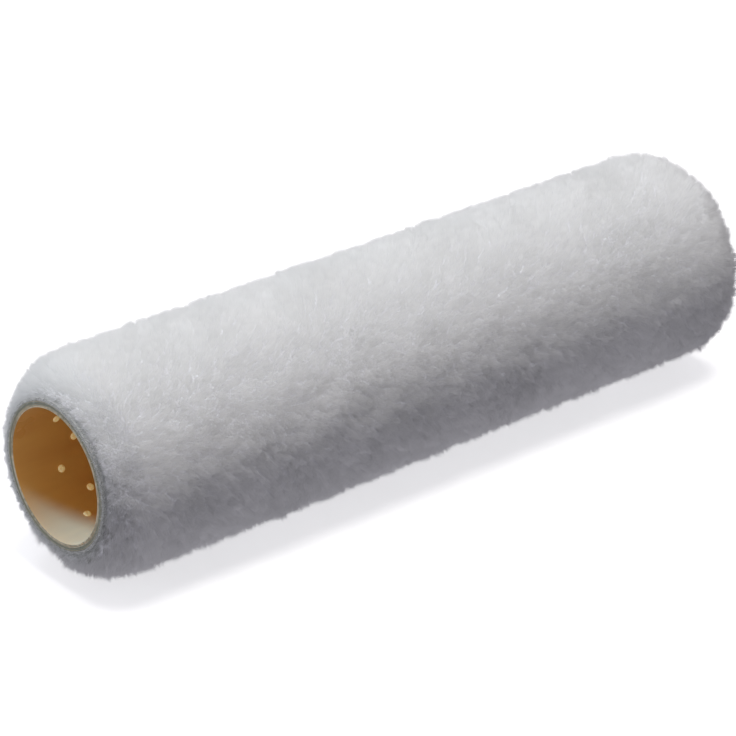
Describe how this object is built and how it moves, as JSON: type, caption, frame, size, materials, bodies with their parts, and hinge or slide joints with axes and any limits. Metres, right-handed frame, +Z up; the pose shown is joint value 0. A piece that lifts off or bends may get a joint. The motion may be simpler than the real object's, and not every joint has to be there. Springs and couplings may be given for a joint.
{
  "type": "paint roller cover",
  "caption": "Paint roller cover: a thin rigid tube of resin-soaked paper inside a thick soft white nap with rounded ends.",
  "frame": {"origin": "middle of the bore, halfway along the cover", "axes": "+X along the bore's axis towards the right end; +Z up as the cover lies on its side; +Y to the back"},
  "size_m": [0.2286, 0.0638, 0.0638],
  "materials": {
    "core_paper": "glossy phenolic resin over wound brown paper",
    "glue": "cured adhesive film",
    "backing": "knitted polyester ground",
    "nap": "soft white plush pile"
  },
  "bodies": {
    "root": {"core_inner_ply": "core_paper", "core_middle_ply": "core_paper", "core_outer_ply": "core_paper", "glue_film": "glue", "fabric_backing": "backing", "fabric_pile": "nap"}
  },
  "joints": []
}
